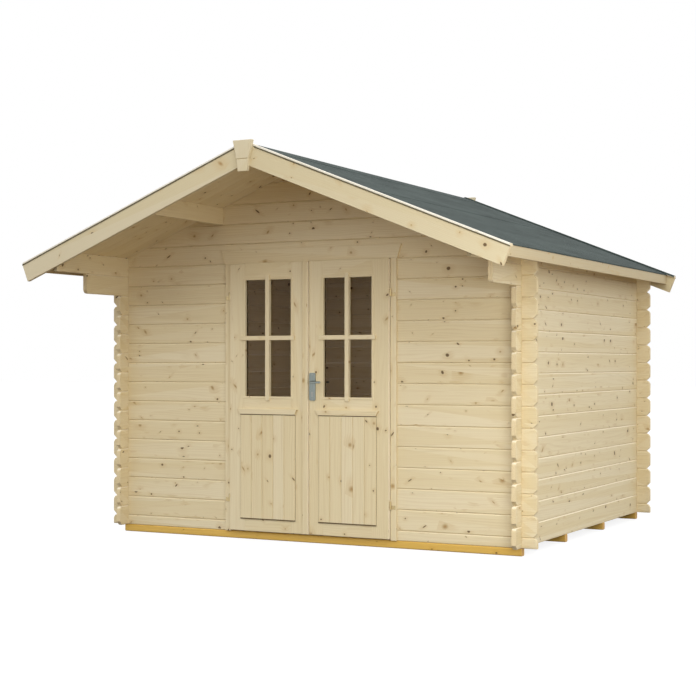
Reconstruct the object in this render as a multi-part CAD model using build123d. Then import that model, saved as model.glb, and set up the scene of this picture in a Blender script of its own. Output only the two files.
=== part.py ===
from build123d import *
import os
from math import atan, ceil, cos, sin, sqrt

# Log cabin of machined logs with a felted gable roof and a pair of half-glazed doors.
# Millimetres, +Z up, the doors face -Y and +X is on the right of someone facing them.
# The origin lies under the middle of the cabin's box, on the level the bearers stand on.

# Walls
wall_width = 3000.0
wall_depth = 2500.0
log_thickness = 28.0
log_height = 135.0
side_courses = 14
log_overhang = 100.0
log_clip = 26.0
log_clip_bulge = 5.0
log_upper_chamfer = 7.0
log_lower_chamfer = 4.0
log_seam = 0.4
notch_play = 0.3
notch_share = 0.25
half_log_share = 0.5
bracket_reach = 480.0
bracket_radius = 30.0

# Floor
bearer_height = 50.0
bearer_width = 50.0
bearer_chamfer = 6.0
bearer_count = 4
bearer_back_inset = 15.0
floor_thickness = 19.0
floor_play = 0.5

# Roof
roof_slope_share = 0.40
roof_board = 19.0
roof_felt = 3.0
felt_lip = 5.0
front_overhang = 795.0
back_overhang = 165.0
eave_overhang = 161.0
eave_board_thickness = 19.0
eave_board_height = 72.0
barge_width = 120.0
barge_thickness = 25.0
barge_past_eave = 63.0
lath_width = 45.0
lath_thickness = 10.0
purlin_thickness = 45.0
purlin_height = 116.0
purlin_courses = 2
roof_seam = 0.4

# Ridge plate over the joint of two bargeboards
plate_thickness = 26.0
plate_top_width = 138.0
plate_waist_width = 85.0
plate_foot_width = 67.0
plate_above_felt = 12.0
plate_waist_drop = 107.0
plate_foot_drop = 180.0
plate_groove = 5.0

# Doorway
leaf_span = 1205.0
leaf_gap = 5.0
meeting_gap = 7.0
meeting_offset = 13.0
leaf_thickness = 40.0
leaf_proud = 30.0
leaf_floor_gap = 10.0
post_web = 19.5
post_proud = 14.0
post_lap = 22.0
post_back = 22.0
stop_width = 20.0
head_height = 25.0
threshold_height = 35.0
lintel_height = 91.5
lintel_thickness = 16.0
lintel_past_post = 6.0
lintel_flare = 28.0
seat_gap = 0.3

# Door leaf
outer_stile = 121.0
meeting_stile = 105.0
top_rail = 109.5
mid_rail = 151.0
bottom_rail = 113.0
window_sill = 918.0
glass_thickness = 4.0
glass_play = 0.3
groove_depth = 8.0
groove_end_play = 1.0
panel_lap = 33.0
panel_proud = 8.0
panel_body = 24.0
bar_height = 35.0
bar_thickness = 16.0
bar_flare = 18.0
strip_width = 39.0
strip_thickness = 12.0

# Hinges
hinge_place_shares = (0.12, 0.88)
hinge_out = 7.5
hinge_forward = 8.0
barrel_radius = 6.0
barrel_height = 26.0
barrel_gap = 0.3
pin_radius = 3.0
pin_play = 0.05
pin_length = 22.0
foot_width = 33.0
foot_thickness = 3.0
flag_width = 22.0
flag_thickness = 2.0

# Lock plates and lever handle
lock_plate_width = 46.0
lock_plate_height = 183.0
lock_plate_thickness = 8.0
lock_plate_chamfer = 6.0
lock_plate_edge = 4.0
lock_plate_below_lever = 121.0
lever_height = 1018.0
spindle_radius = 8.0
spindle_play = 0.05
spindle_hole_play = 1.5
lever_reach = 30.0
lever_length = 72.0
lever_tall = 16.0
lever_deep = 12.0

# One overrun for every cut
overrun = 5.0

# Places that follow from the sizes above
roof_angle = atan(roof_slope_share)
half_width = wall_width / 2
base = bearer_height
edge_depth = barge_thickness + plate_thickness
total_depth = wall_depth + front_overhang + back_overhang + 2 * edge_depth
front_face = -total_depth / 2 + edge_depth + front_overhang
back_face = front_face + wall_depth
roof_front = front_face - front_overhang
roof_back = back_face + back_overhang
front_verge = roof_front - barge_thickness
back_verge = roof_back + barge_thickness
eave_height = base + side_courses * log_height
board_rise = roof_board / cos(roof_angle)
felt_rise = roof_felt / cos(roof_angle)
lath_rise = lath_thickness / cos(roof_angle)
soffit_apex = eave_height + roof_slope_share * (half_width - log_thickness)
eave_inner = half_width + eave_overhang
eave_outer = eave_inner + eave_board_thickness
gable_base = eave_height - half_log_share * log_height
gable_courses = ceil((soffit_apex - gable_base) / log_height)
purlin_course = side_courses + purlin_courses
purlin_bottom = base + (purlin_course - half_log_share) * log_height
purlin_inner = (soffit_apex - purlin_bottom - purlin_height) / roof_slope_share
purlin_outer = purlin_inner + purlin_thickness

leaf_edge = leaf_span / 2
leaf_front = front_face - leaf_proud
leaf_back = leaf_front + leaf_thickness
leaf_bottom = base + leaf_floor_gap
leaf_top = gable_base - leaf_gap
web_inner = leaf_edge + leaf_gap
web_outer = web_inner + post_web
post_outer = web_outer + post_lap
post_front = front_face - post_proud
post_rear = front_face + log_thickness + post_back
stop_inner = web_inner - stop_width
stop_front = leaf_back + leaf_gap
log_cut = web_outer + notch_play
window_outer = leaf_edge - outer_stile
sill = base + window_sill
window_top = leaf_top - top_rail
panel_top = sill - mid_rail
panel_bottom = leaf_bottom + bottom_rail
glass_middle = leaf_front + leaf_thickness / 2
hinge_x = leaf_edge + hinge_out
hinge_y = leaf_front + hinge_forward
lever_z = base + lever_height
right_leaf_inner = meeting_offset + meeting_gap / 2
window_inner = right_leaf_inner + meeting_stile
left_leaf_inner = meeting_gap / 2 - meeting_offset
lever_x = right_leaf_inner + lock_plate_edge + lock_plate_width / 2


def soffit(x):
    """Height of the underside of the roof boards at a distance x from the ridge line."""
    return soffit_apex - roof_slope_share * abs(x)


def board_top(x):
    """Height of the upper side of the roof boards at a distance x from the ridge line."""
    return soffit(x) + board_rise


def felt_top(x):
    """Height of the upper side of the felt at a distance x from the ridge line."""
    return board_top(x) + felt_rise


def block(x0, x1, y0, y1, z0, z1):
    """Box between two corners."""
    return Pos(x0, y0, z0) * Box(x1 - x0, y1 - y0, z1 - z0, align=(Align.MIN, Align.MIN, Align.MIN))


def slab_along_y(points, y0, y1):
    """Prism with an outline of (x, z) points, from y0 to y1."""
    outline = Polyline(*[(x, y0, z) for x, z in points], close=True)
    return extrude(make_face(outline), amount=y1 - y0, dir=(0, 1, 0))


def slab_along_x(points, x0, x1):
    """Prism with an outline of (y, z) points, from x0 to x1."""
    outline = Polyline(*[(x0, y, z) for y, z in points], close=True)
    return extrude(make_face(outline), amount=x1 - x0, dir=(1, 0, 0))


def slab_along_z(points, z0, z1):
    """Prism with an outline of (x, y) points, from z0 to z1."""
    outline = Polyline(*[(x, y, z0) for x, y in points], close=True)
    return extrude(make_face(outline), amount=z1 - z0, dir=(0, 0, 1))


def rod_along_y(x, z, radius, y0, y1):
    """Round rod along Y."""
    return extrude(Plane((x, y0, z), x_dir=(1, 0, 0), z_dir=(0, 1, 0)) * Circle(radius), amount=y1 - y0)


def rod_along_z(x, y, radius, z0, z1):
    """Round rod along Z."""
    return extrude(Plane((x, y, z0)) * Circle(radius), amount=z1 - z0)


def flip(shape):
    """The same shape on the other side of the cabin."""
    return mirror(shape, about=Plane.YZ)


# Logs

def corner(end, side, v, up, shape):
    """Points of one corner in a log's side view, from its edge to its end face.

    end is the place of the end face, side is 1 for the far end and -1 for the near one,
    v is the height of the log's edge and up is 1 for an upper corner and -1 for a lower one.
    """
    if shape == SQUARE:
        return [(end, v)]
    clip, bulge = shape
    start = (end - side * clip, v)
    finish = (end, v - up * clip)
    lean = clip / 2 - bulge / sqrt(2)
    middle = (end - side * lean, v - up * lean)
    return [start, middle, finish] if bulge else [start, finish]


def log_outline(u0, u1, v0, v1, crossings, notches, corners):
    """Points of a log's side view.

    crossings are the places of the logs that it crosses, notches the depths of the lower and
    upper notch there, and corners the shapes: lower near, lower far, upper far, upper near.
    """
    half_notch = log_thickness / 2 + notch_play
    low_depth, high_depth = notches
    bottom = []
    top = []
    for place in crossings:
        near, far = place - half_notch, place + half_notch
        if low_depth:
            bottom += [(near, v0), (near, v0 + low_depth), (far, v0 + low_depth), (far, v0)]
        if high_depth:
            top += [(near, v1), (near, v1 - high_depth), (far, v1 - high_depth), (far, v1)]
    near_low = corner(u0, -1, v0, -1, corners[0])
    far_low = corner(u1, 1, v0, -1, corners[1])
    far_high = corner(u1, 1, v1, 1, corners[2])
    near_high = corner(u0, -1, v1, 1, corners[3])
    return near_low[::-1] + bottom + far_low + far_high[::-1] + top[::-1] + near_high


def log(u0, u1, v0, v1, crossings, notches, corners, nose_radius=0):
    """One log along X, centred on Y: its chamfered section cut to its side view.

    nose_radius rounds the lower corner of the near end.
    """
    half = log_thickness / 2
    low, high = log_lower_chamfer, log_upper_chamfer
    section = [
        (-half + low, v0), (half - low, v0), (half, v0 + low), (half, v1 - high),
        (half - high, v1), (-half + high, v1), (-half, v1 - high), (-half, v0 + low),
    ]
    stick = slab_along_x(section, u0, u1)
    y0 = -half - overrun
    points = log_outline(u0, u1, v0, v1, crossings, notches, corners)
    face = make_face(Polyline(*[(u, y0, v) for u, v in points], close=True))
    if nose_radius:
        face = fillet(face.vertices().sort_by_distance((u0, y0, v0))[0], nose_radius)
    side_view = extrude(face, amount=log_thickness + 2 * overrun, dir=(0, 1, 0))
    return (stick & side_view).solids()[0]


def under_roof(y0, y1):
    """Space under both roof slopes, as far out as the bargeboards reach."""
    reach = eave_outer + barge_past_eave
    points = [(-reach, 0), (reach, 0), (reach, soffit(reach) - seat_gap),
              (0, soffit_apex - seat_gap), (-reach, soffit(reach) - seat_gap)]
    return slab_along_y(points, y0, y1)


LOW_CLIP = (log_clip, 0)
HIGH_CLIP = (log_clip, log_clip_bulge)
SQUARE = None
notch = notch_share * log_height
front_middle = front_face + log_thickness / 2
back_middle = back_face - log_thickness / 2
side_middle = half_width - log_thickness / 2
stub_end = half_width + log_overhang


def cross_course(course):
    """Bottom and top of a log course of the front and back wall; course 0 is the half log."""
    middle = base + course * log_height
    low = base if course == 0 else middle - half_log_share * log_height
    return low, middle + half_log_share * log_height - log_seam


def cross_notches(course):
    """Lower and upper notch of a log of the front and back wall."""
    return (0 if course == 0 else notch, notch)


def stub_corners(course):
    """Lower and upper corner of a log end past the wall: the half log stands square on the bearers."""
    return (SQUARE if course == 0 else LOW_CLIP, HIGH_CLIP)


def front_wall_right():
    """Logs of the front wall from the doorway to the stubs at the corner."""
    logs = []
    for course in range(side_courses):
        low, high = cross_course(course)
        end_low, end_high = stub_corners(course)
        corners = (SQUARE, end_low, end_high, SQUARE)
        piece = log(log_cut, stub_end, low, high, [side_middle], cross_notches(course), corners)
        logs.append(Pos(0, front_middle, 0) * piece)
    return logs


def back_wall():
    """Logs of the back wall, from stub to stub."""
    logs = []
    for course in range(side_courses):
        low, high = cross_course(course)
        end_low, end_high = stub_corners(course)
        corners = (end_low, end_low, end_high, end_high)
        places = [-side_middle, side_middle]
        piece = log(-stub_end, stub_end, low, high, places, cross_notches(course), corners)
        logs.append(Pos(0, back_middle, 0) * piece)
    return logs


def gable(middle):
    """Logs of a gable, cut off under the roof boards and cut out round the purlins."""
    space = under_roof(middle - log_thickness, middle + log_thickness)
    logs = []
    for course in range(side_courses, side_courses + gable_courses):
        low, high = cross_course(course)
        first = course == side_courses
        reach = stub_end if first else (soffit_apex - low) / roof_slope_share
        places = [-side_middle, side_middle] if first else []
        end_low = LOW_CLIP if first else SQUARE
        piece = log(-reach, reach, low, high, places, (notch, 0), (end_low, end_low, SQUARE, SQUARE))
        piece = Pos(0, middle, 0) * piece & space
        if low < purlin_bottom + purlin_height and high > purlin_bottom:
            gap_low = min(low, purlin_bottom - seat_gap)
            for side in (-1, 1):
                x0 = side * (purlin_inner - notch_play)
                x1 = side * (purlin_outer + notch_play)
                y0, y1 = middle - log_thickness, middle + log_thickness
                piece = piece - block(min(x0, x1), max(x0, x1), y0, y1, gap_low - overrun, soffit_apex)
        logs += list(piece.solids())
    return logs


def right_wall():
    """Logs of a side wall: plain stubs below, then the bracket log and the log under the eave."""
    logs = []
    space = under_roof(roof_front - overrun, roof_back + overrun)
    for course in range(side_courses):
        low = base + course * log_height
        high = low + log_height - log_seam
        near, far = front_face - log_overhang, back_face + log_overhang
        corners = (LOW_CLIP, LOW_CLIP, HIGH_CLIP, HIGH_CLIP)
        nose_radius = 0
        if course == side_courses - 2:
            near = front_face - bracket_reach
            corners = (SQUARE, LOW_CLIP, HIGH_CLIP, SQUARE)
            nose_radius = bracket_radius
        if course == side_courses - 1:
            near, far = roof_front, roof_back
            corners = (SQUARE, SQUARE, SQUARE, SQUARE)
        places = [front_middle, back_middle]
        piece = log(near, far, low, high, places, (notch, notch), corners, nose_radius)
        piece = Pos(side_middle, 0, 0) * Rot(0, 0, 90) * piece
        if course == side_courses - 1:
            piece = (piece & space).solids()[0]
        logs.append(piece)
    return logs


# Floor

def floor_bearers():
    """Bearers with eased edges across the cabin, the first one flush with the front wall."""
    run = wall_depth - bearer_back_inset - bearer_width
    pieces = []
    for index in range(bearer_count):
        y0 = front_face + run * index / (bearer_count - 1)
        bearer = block(-half_width, half_width, y0, y0 + bearer_width, 0, bearer_height)
        pieces.append(chamfer(bearer.edges().filter_by(Axis.X), bearer_chamfer).solids()[0])
    return pieces


def floor():
    """Floor boards as one slab inside the walls, cut back behind the doorway."""
    x = half_width - log_thickness - floor_play
    y0 = front_face + log_thickness + floor_play
    y1 = back_face - log_thickness - floor_play
    door_x = post_outer + floor_play
    door_y = post_rear + floor_play
    points = [(-x, y0), (-door_x, y0), (-door_x, door_y), (door_x, door_y),
              (door_x, y0), (x, y0), (x, y1), (-x, y1)]
    return slab_along_z(points, base, base + floor_thickness)


# Roof

def purlin_right():
    """Purlin under the right slope, bevelled to the roof boards, from bargeboard to bargeboard."""
    inner_top, outer_top = soffit(purlin_inner) - seat_gap, soffit(purlin_outer) - seat_gap
    points = [(purlin_inner, purlin_bottom), (purlin_outer, purlin_bottom),
              (purlin_outer, outer_top), (purlin_inner, inner_top)]
    return slab_along_y(points, roof_front, roof_back)


def roof_boards_right():
    """Roof boards of the right slope as one slab from the ridge to the eave board."""
    ridge = roof_seam / 2
    points = [(ridge, soffit(ridge)), (ridge, board_top(ridge)),
              (eave_inner, board_top(eave_inner)), (eave_inner, soffit(eave_inner))]
    return slab_along_y(points, roof_front, roof_back)


def roof_felt_right():
    """Felt of the right slope: a sheet over boards and bargeboards, turned down at eave and verges."""
    ridge = roof_seam / 2
    edge = eave_outer + roof_felt
    sheet = slab_along_y(
        [(ridge, board_top(ridge)), (ridge, felt_top(ridge)),
         (edge, felt_top(edge)), (edge, board_top(edge))],
        front_verge, back_verge)
    lip_foot = board_top(eave_outer) - felt_lip
    eave_lip = slab_along_y(
        [(eave_outer, felt_top(edge)), (edge, felt_top(edge)), (edge, lip_foot), (eave_outer, lip_foot)],
        roof_front + seat_gap, roof_back - seat_gap)
    start = plate_top_width / 2 + seat_gap
    verge_points = [(start, felt_top(start)), (edge, felt_top(edge)),
                    (edge, board_top(edge) - felt_lip), (start, board_top(start) - felt_lip)]
    front_lip = slab_along_y(verge_points, front_verge - roof_felt, front_verge)
    back_lip = slab_along_y(verge_points, back_verge, back_verge + roof_felt)
    return (sheet + eave_lip + front_lip + back_lip).solids()[0]


def bargeboard_right(y0):
    """Bargeboard along the right slope, plumb cut at the ridge and square cut at the eave."""
    ridge = roof_seam / 2
    end = eave_outer + barge_past_eave
    drop = barge_width / cos(roof_angle)
    points = [(ridge, board_top(ridge)), (end, board_top(end)),
              (end - barge_width * sin(roof_angle), board_top(end) - barge_width * cos(roof_angle)),
              (ridge, board_top(ridge) - drop)]
    return slab_along_y(points, y0, y0 + barge_thickness)


def eave_board_right():
    """Board that closes the ends of the roof boards along the right eave."""
    foot = board_top(eave_outer) - eave_board_height
    points = [(eave_inner, foot), (eave_outer, foot),
              (eave_outer, board_top(eave_outer)), (eave_inner, board_top(eave_inner))]
    return slab_along_y(points, roof_front, roof_back)


def verge_lath_right(y0):
    """Lath that holds the felt down along one verge, stepped down on the bargeboard past the felt."""
    ridge = roof_seam / 2
    step = eave_outer + roof_felt + seat_gap
    end = eave_outer + barge_past_eave
    points = [(ridge, felt_top(ridge)), (step, felt_top(step)), (step, board_top(step)),
              (end, board_top(end)), (end, felt_top(end) + lath_rise), (ridge, felt_top(ridge) + lath_rise)]
    return slab_along_y(points, y0, y0 + lath_width)


def ridge_plate(y0, front):
    """Tapered plate over the joint of two bargeboards, with a groove across its waist."""
    top = felt_top(0) + plate_above_felt
    waist, foot = top - plate_waist_drop - plate_above_felt, top - plate_foot_drop - plate_above_felt
    half_top, half_waist, half_foot = plate_top_width / 2, plate_waist_width / 2, plate_foot_width / 2
    points = [(-half_top, top), (half_top, top), (half_waist, waist),
              (half_foot, foot), (-half_foot, foot), (-half_waist, waist)]
    plate = slab_along_y(points, y0, y0 + plate_thickness)
    face = y0 - overrun if front else y0 + plate_thickness - plate_groove
    groove = block(-half_top, half_top, face, face + plate_groove + overrun, waist, waist + plate_groove)
    return (plate - groove).solids()[0]


# Doorway

def door_post_right():
    """Post that grips the log ends: trim in front, stop for the leaf behind."""
    slot_front = front_face - notch_play
    slot_back = front_face + log_thickness + notch_play
    points = [(stop_inner, stop_front), (web_inner, stop_front), (web_inner, post_front),
              (post_outer, post_front), (post_outer, slot_front), (web_outer, slot_front),
              (web_outer, slot_back), (post_outer, slot_back), (post_outer, post_rear),
              (stop_inner, post_rear)]
    return slab_along_z(points, base, gable_base - seat_gap)


def door_head():
    """Stop rail over the doorway, between the posts."""
    x = stop_inner - seat_gap
    top = gable_base - seat_gap
    return block(-x, x, stop_front, post_rear, top - head_height, top)


def door_threshold():
    """Threshold between the posts, on the front bearer."""
    x = stop_inner - seat_gap
    return block(-x, x, stop_front, post_rear, base, base + threshold_height)


def lintel_board():
    """Board over the doors with slanted ends."""
    low = post_outer + lintel_past_post
    high = low + lintel_flare
    points = [(-low, gable_base), (low, gable_base),
              (high, gable_base + lintel_height), (-high, gable_base + lintel_height)]
    return slab_along_y(points, front_face - lintel_thickness, front_face)


# Door leaves, drawn on the right and flipped for the left

def leaf_stiles(inner):
    """Two stiles with a groove for the glass and the rails; inner is the leaf's meeting edge."""
    half_groove = glass_thickness / 2 + glass_play
    y0, y1 = glass_middle - half_groove, glass_middle + half_groove
    deep_in, deep_out = window_inner - groove_depth, window_outer + groove_depth
    meeting = [(inner, leaf_front), (window_inner, leaf_front), (window_inner, y0), (deep_in, y0),
               (deep_in, y1), (window_inner, y1), (window_inner, leaf_back), (inner, leaf_back)]
    hanging = [(leaf_edge, leaf_front), (leaf_edge, leaf_back), (window_outer, leaf_back),
               (window_outer, y1), (deep_out, y1), (deep_out, y0), (window_outer, y0),
               (window_outer, leaf_front)]
    return [slab_along_z(points, leaf_bottom, leaf_top) for points in (meeting, hanging)]


def leaf_rail(low, high, groove_below, groove_above):
    """Rail between the stiles with tongues in their grooves and its own groove for the glass."""
    half_groove = glass_thickness / 2 + glass_play
    half_tongue = glass_thickness / 2
    tongue = groove_depth - groove_end_play
    rail = block(window_inner + seat_gap, window_outer - seat_gap, leaf_front, leaf_back, low, high)
    rail += block(window_inner - tongue, window_outer + tongue, glass_middle - half_tongue,
                  glass_middle + half_tongue, low, high)
    x0, x1 = window_inner - groove_depth, window_outer + groove_depth
    y0, y1 = glass_middle - half_groove, glass_middle + half_groove
    if groove_below:
        rail -= block(x0, x1, y0, y1, low - overrun, low + groove_depth)
    if groove_above:
        rail -= block(x0, x1, y0, y1, high - groove_depth, high + overrun)
    return rail.solids()[0]


def leaf_rails():
    """Bottom, middle and top rail of a leaf."""
    return [
        leaf_rail(leaf_bottom, panel_bottom, False, False),
        leaf_rail(panel_top, sill, False, True),
        leaf_rail(window_top, leaf_top, True, False),
    ]


def leaf_glass():
    """Pane in the grooves of the stiles and rails."""
    tuck = groove_depth - groove_end_play
    half = glass_thickness / 2
    return block(window_inner - tuck, window_outer + tuck, glass_middle - half, glass_middle + half,
                 sill - tuck, window_top + tuck)


def leaf_panel():
    """Lower panel: it fills the frame and laps over it in front."""
    body = block(window_inner + seat_gap, window_outer - seat_gap, leaf_front, leaf_front + panel_body,
                 panel_bottom + seat_gap, panel_top - seat_gap)
    front = block(window_inner - panel_lap, window_outer + panel_lap, leaf_front - panel_proud, leaf_front,
                  panel_bottom - panel_lap, panel_top + panel_lap)
    return (body + front).solids()[0]


def weather_bar():
    """Bar over the lower panel with slanted ends."""
    low = panel_top + panel_lap + seat_gap
    high = low + bar_height
    x0, x1 = window_inner - panel_lap, window_outer + panel_lap
    points = [(x0, low), (x1, low), (x1 + bar_flare, high), (x0 - bar_flare, high)]
    return slab_along_y(points, leaf_front - bar_thickness, leaf_front)


def cover_strip(inner):
    """Strip on the meeting stile, flush with the leaf's edge."""
    return block(inner, inner + strip_width, leaf_front - strip_thickness, leaf_front, leaf_bottom, leaf_top)


def hinge_levels():
    """Heights where the two halves of each hinge meet."""
    return [leaf_bottom + share * (leaf_top - leaf_bottom) for share in hinge_place_shares]


def leaf_hinges():
    """Upper hinge barrels with a flag on the leaf's edge."""
    pieces = []
    for level in hinge_levels():
        low, high = level + barrel_gap, level + barrel_gap + barrel_height
        barrel = rod_along_z(hinge_x, hinge_y, barrel_radius, low, high)
        flag = block(leaf_edge, leaf_edge + flag_thickness, hinge_y, hinge_y + flag_width, low, high)
        bore = rod_along_z(hinge_x, hinge_y, pin_radius + pin_play, low - overrun, high - foot_thickness)
        pieces.append((barrel + flag - bore).solids()[0])
    return pieces


def post_hinges():
    """Lower hinge barrels with their pins and a foot on the door post."""
    pieces = []
    for level in hinge_levels():
        low = level - barrel_height
        barrel = rod_along_z(hinge_x, hinge_y, barrel_radius, low, level)
        pin = rod_along_z(hinge_x, hinge_y, pin_radius, level, level + pin_length)
        foot = block(hinge_x, hinge_x + foot_width, post_front - foot_thickness, post_front, low, level)
        pieces.append((barrel + pin + foot).solids()[0])
    return pieces


# Lock plates and lever handle

def lock_plate(y0):
    """Plate with eased corners and the bore of the lever's spindle."""
    low = lever_z - lock_plate_below_lever
    x0, x1 = lever_x - lock_plate_width / 2, lever_x + lock_plate_width / 2
    plate = block(x0, x1, y0 - lock_plate_thickness, y0, low, low + lock_plate_height)
    plate = chamfer(plate.edges().filter_by(Axis.Y), lock_plate_chamfer)
    bore = rod_along_y(lever_x, lever_z, spindle_radius + spindle_play,
                       y0 - lock_plate_thickness - overrun, y0 + overrun)
    return (plate - bore).solids()[0]


def lever(y0):
    """Lever arm with round ends, from the spindle towards the hinges."""
    plane = Plane((lever_x + lever_length / 2, y0, lever_z), x_dir=(1, 0, 0), z_dir=(0, 1, 0))
    return extrude(plane * SlotCenterToCenter(lever_length, lever_tall), amount=lever_deep)


def door_handle():
    """Spindle through the meeting stile with a lever on each side."""
    front = leaf_front - lock_plate_thickness - lever_reach - lever_deep
    back = leaf_back + lock_plate_thickness + lever_reach + lever_deep
    spindle = rod_along_y(lever_x, lever_z, spindle_radius, front, back)
    return (spindle + lever(front) + lever(back - lever_deep)).solids()[0]


def spindle_hole():
    """Hole for the spindle through the meeting stile."""
    radius = spindle_radius + spindle_hole_play
    return rod_along_y(lever_x, lever_z, radius, leaf_front - overrun, leaf_back + overrun)


def all_parts():
    """Every node by name, each a list of solids."""
    lock_stile, hanging_stile = leaf_stiles(right_leaf_inner)
    laths = [verge_lath_right(front_verge), verge_lath_right(back_verge - lath_width)]
    hinges = post_hinges()
    return {
        "floor_bearers": floor_bearers(),
        "floor": [floor()],
        "front_wall_right": front_wall_right(),
        "front_wall_left": [flip(piece) for piece in front_wall_right()],
        "front_gable": gable(front_middle),
        "back_wall": back_wall(),
        "back_gable": gable(back_middle),
        "right_wall": right_wall(),
        "left_wall": [flip(piece) for piece in right_wall()],
        "purlin_right": [purlin_right()],
        "purlin_left": [flip(purlin_right())],
        "roof_boards_right": [roof_boards_right()],
        "roof_boards_left": [flip(roof_boards_right())],
        "roof_felt_right": [roof_felt_right()],
        "roof_felt_left": [flip(roof_felt_right())],
        "front_bargeboard_right": [bargeboard_right(front_verge)],
        "front_bargeboard_left": [flip(bargeboard_right(front_verge))],
        "back_bargeboard_right": [bargeboard_right(roof_back)],
        "back_bargeboard_left": [flip(bargeboard_right(roof_back))],
        "ridge_plates": [ridge_plate(front_verge - plate_thickness, True),
                         ridge_plate(back_verge, False)],
        "eave_board_right": [eave_board_right()],
        "eave_board_left": [flip(eave_board_right())],
        "verge_laths": laths + [flip(lath) for lath in laths],
        "door_post_right": [door_post_right()],
        "door_post_left": [flip(door_post_right())],
        "door_head": [door_head()],
        "door_threshold": [door_threshold()],
        "lintel_board": [lintel_board()],
        "post_hinges": hinges + [flip(hinge) for hinge in hinges],
        "left_door_stiles": [flip(stile) for stile in leaf_stiles(left_leaf_inner)],
        "left_door_rails": [flip(rail) for rail in leaf_rails()],
        "left_door_glass": [flip(leaf_glass())],
        "left_door_panel": [flip(leaf_panel())],
        "left_door_weather_bar": [flip(weather_bar())],
        "left_door_cover_strip": [flip(cover_strip(left_leaf_inner))],
        "left_door_hinges": [flip(hinge) for hinge in leaf_hinges()],
        "right_door_stiles": [(lock_stile - spindle_hole()).solids()[0], hanging_stile],
        "right_door_rails": leaf_rails(),
        "right_door_glass": [leaf_glass()],
        "right_door_panel": [leaf_panel()],
        "right_door_weather_bar": [weather_bar()],
        "right_door_hinges": leaf_hinges(),
        "right_door_lock_plates": [lock_plate(leaf_front), lock_plate(leaf_back + lock_plate_thickness)],
        "door_handle": [door_handle()],
    }


os.makedirs("parts", exist_ok=True)
for name, solids in all_parts().items():
    pieces = [solid for piece in solids for solid in piece.solids()]
    export_step(pieces[0] if len(pieces) == 1 else Compound(children=pieces), f"parts/{name}.step")
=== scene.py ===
import functools
import logging
import math
from collections.abc import Sequence
from dataclasses import dataclass, replace
from enum import Enum

import bmesh
import bpy
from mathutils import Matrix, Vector


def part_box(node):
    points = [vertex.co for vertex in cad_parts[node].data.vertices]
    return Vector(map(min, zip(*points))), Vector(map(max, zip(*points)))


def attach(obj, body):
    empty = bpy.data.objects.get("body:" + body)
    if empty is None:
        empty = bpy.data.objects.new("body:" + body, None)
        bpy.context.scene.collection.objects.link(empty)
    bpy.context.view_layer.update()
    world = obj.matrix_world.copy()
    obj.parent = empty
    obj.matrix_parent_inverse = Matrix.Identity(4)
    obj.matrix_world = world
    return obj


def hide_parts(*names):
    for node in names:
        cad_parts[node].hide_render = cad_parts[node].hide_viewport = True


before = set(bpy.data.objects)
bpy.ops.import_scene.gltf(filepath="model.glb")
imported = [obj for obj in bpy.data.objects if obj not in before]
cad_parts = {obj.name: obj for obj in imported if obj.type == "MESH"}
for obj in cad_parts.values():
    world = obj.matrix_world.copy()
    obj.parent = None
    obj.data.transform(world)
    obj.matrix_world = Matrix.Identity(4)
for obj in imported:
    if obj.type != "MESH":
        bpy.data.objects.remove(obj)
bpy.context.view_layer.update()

# Looks of a log cabin of machined spruce logs with a felted gable roof and half-glazed doors.
# Metres in the frame of the solids: +Z up, the doors face -Y, and +X is on the right of someone
# who faces them.

LOG = logging.getLogger("cabin")
Colour = tuple[float, float, float, float]
Point = tuple[float, float, float]
Pair = tuple[float, float]
Node = bpy.types.Node
Socket = bpy.types.NodeSocket
Tree = bpy.types.NodeTree
Mesh = bmesh.types.BMesh
Outline = Sequence[Point | Vector]

MM_PER_M = 1000
ROOF_SLOPE = 0.40
PITCH_COS = math.cos(math.atan(ROOF_SLOPE))
PITCH_SIN = math.sin(math.atan(ROOF_SLOPE))
EASED_STEPS = 2
EASED_ANGLE = math.radians(35)
SHARP_ANGLE = math.radians(40)
WELD_REACH = 0.00002
UP = Vector((0, 0, 1))


def srgb(code: str) -> Colour:
    """Turns an sRGB hex value to a linear colour.

    Args:
        code: Six hex digits after a hash sign.

    Returns:
        Linear red, green and blue with an alpha of one.
    """
    parts = [int(code[i:i + 2], 16) / 255 for i in (1, 3, 5)]
    red, green, blue = (c / 12.92 if c <= 0.04045 else ((c + 0.055) / 1.055) ** 2.4 for c in parts)
    return red, green, blue, 1.0


def add(tree: Tree, kind: str, *values: object, named: dict[str | int, object] | None = None,
        **settings: object) -> Node:
    """Adds a shader node, sets its properties and fills or links its inputs.

    Args:
        tree: Node tree that takes the node.
        kind: Node type without its ShaderNode prefix.
        values: Inputs in order; a node stands for its first output.
        named: More inputs by name or index.
        settings: Properties of the node.

    Returns:
        The new node.
    """
    node = tree.nodes.new("ShaderNode" + kind)
    for name, value in settings.items():
        setattr(node, name, value)
    for key, value in [*enumerate(values), *(named or {}).items()]:
        if isinstance(value, Node):
            value = value.outputs[0]
        if isinstance(value, Socket):
            tree.links.new(value, node.inputs[key])
        else:
            node.inputs[key].default_value = value
    return node


def new_material(name: str) -> tuple[bpy.types.Material, Tree]:
    """Makes an empty node material.

    Args:
        name: Name of the material.

    Returns:
        The material and its node tree.
    """
    material = bpy.data.materials.new(name)
    material.use_nodes = True
    material.node_tree.nodes.clear()
    return material, material.node_tree


class Side(Enum):
    """A side of the cabin for someone facing the doors, with the sign of its X."""

    RIGHT = 1
    LEFT = -1

    def __str__(self) -> str:
        """Gives the side's word in the names of nodes and pieces."""
        return self.name.lower()


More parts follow.
